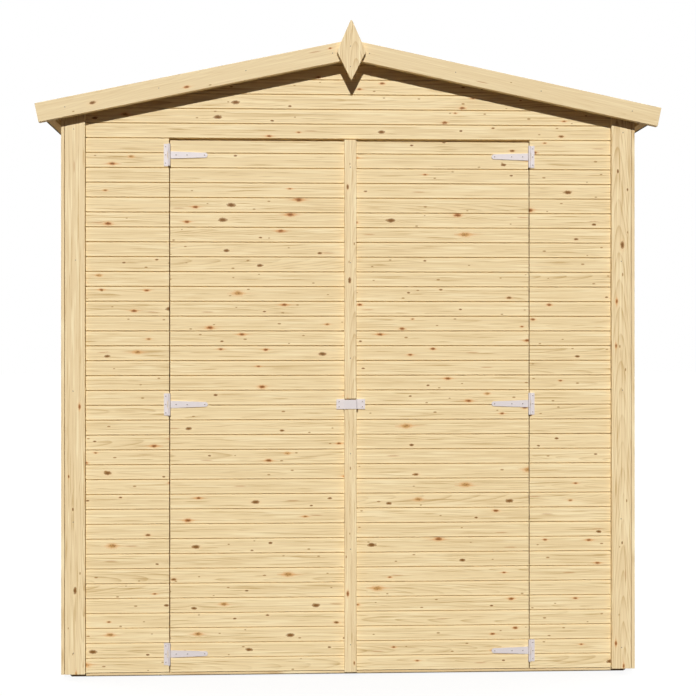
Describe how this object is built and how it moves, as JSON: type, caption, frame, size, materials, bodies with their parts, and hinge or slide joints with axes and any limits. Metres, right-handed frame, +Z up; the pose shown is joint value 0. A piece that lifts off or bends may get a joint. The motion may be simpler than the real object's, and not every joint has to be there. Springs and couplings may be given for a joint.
{
  "type": "wooden garden shed",
  "caption": "Boarded apex garden shed with a low pitched roof, corner trims, finials and a pair of outward opening hinged doors onto a boarded floor.",
  "frame": {"origin": "on the ground at the middle of the plan, under the floor bearers", "axes": "+Z up, the doors face -Y, +X to the right of someone facing the doors"},
  "size_m": [2.034, 1.98, 2.132],
  "materials": {
    "boards": "matte",
    "trim": "matte",
    "framing": "matte",
    "floor": "matte",
    "roof_boards": "matte",
    "felt": "matte",
    "galvanised": "satin"
  },
  "bodies": {
    "shed": {"front_wall_left": "boards", "front_wall_right": "boards", "front_gable": "boards", "back_wall": "boards", "left_wall": "boards", "right_wall": "boards", "end_corner_trims": "trim", "side_corner_trims": "trim", "front_barge_left": "trim", "front_barge_right": "trim", "back_barge_left": "trim", "back_barge_right": "trim", "front_finial": "trim", "back_finial": "trim", "floor_bearers": "framing", "front_studs": "framing", "front_rails": "framing", "back_studs": "framing", "back_rails": "framing", "left_studs": "framing", "left_rails": "framing", "right_studs": "framing", "right_rails": "framing", "door_stops": "framing", "ridge_beam": "framing", "purlins": "framing", "eave_battens": "framing", "floor_deck": "floor", "roof_boards_left": "roof_boards", "roof_boards_right": "roof_boards", "roof_felt": "felt", "ridge_felt": "felt", "hinge_plates": "galvanised"},
    "left_door": {"left_door_boards": "boards", "left_door_ledges": "framing", "left_door_braces": "framing", "cover_strip": "trim", "left_door_straps": "galvanised", "latch_plate": "galvanised"},
    "right_door": {"right_door_boards": "boards", "right_door_ledges": "framing", "right_door_braces": "framing", "right_door_straps": "galvanised", "latch_keeper": "galvanised"}
  },
  "joints": [
    {"name": "left_door_hinge", "type": "hinge", "parent": "shed", "child": "left_door", "pos_m": [-0.5915, -0.933, 0.89], "axis": [0, 0, -1], "range_deg": [0, 170]},
    {"name": "right_door_hinge", "type": "hinge", "parent": "shed", "child": "right_door", "pos_m": [0.5915, -0.933, 0.89], "axis": [0, 0, 1], "range_deg": [0, 170]}
  ]
}
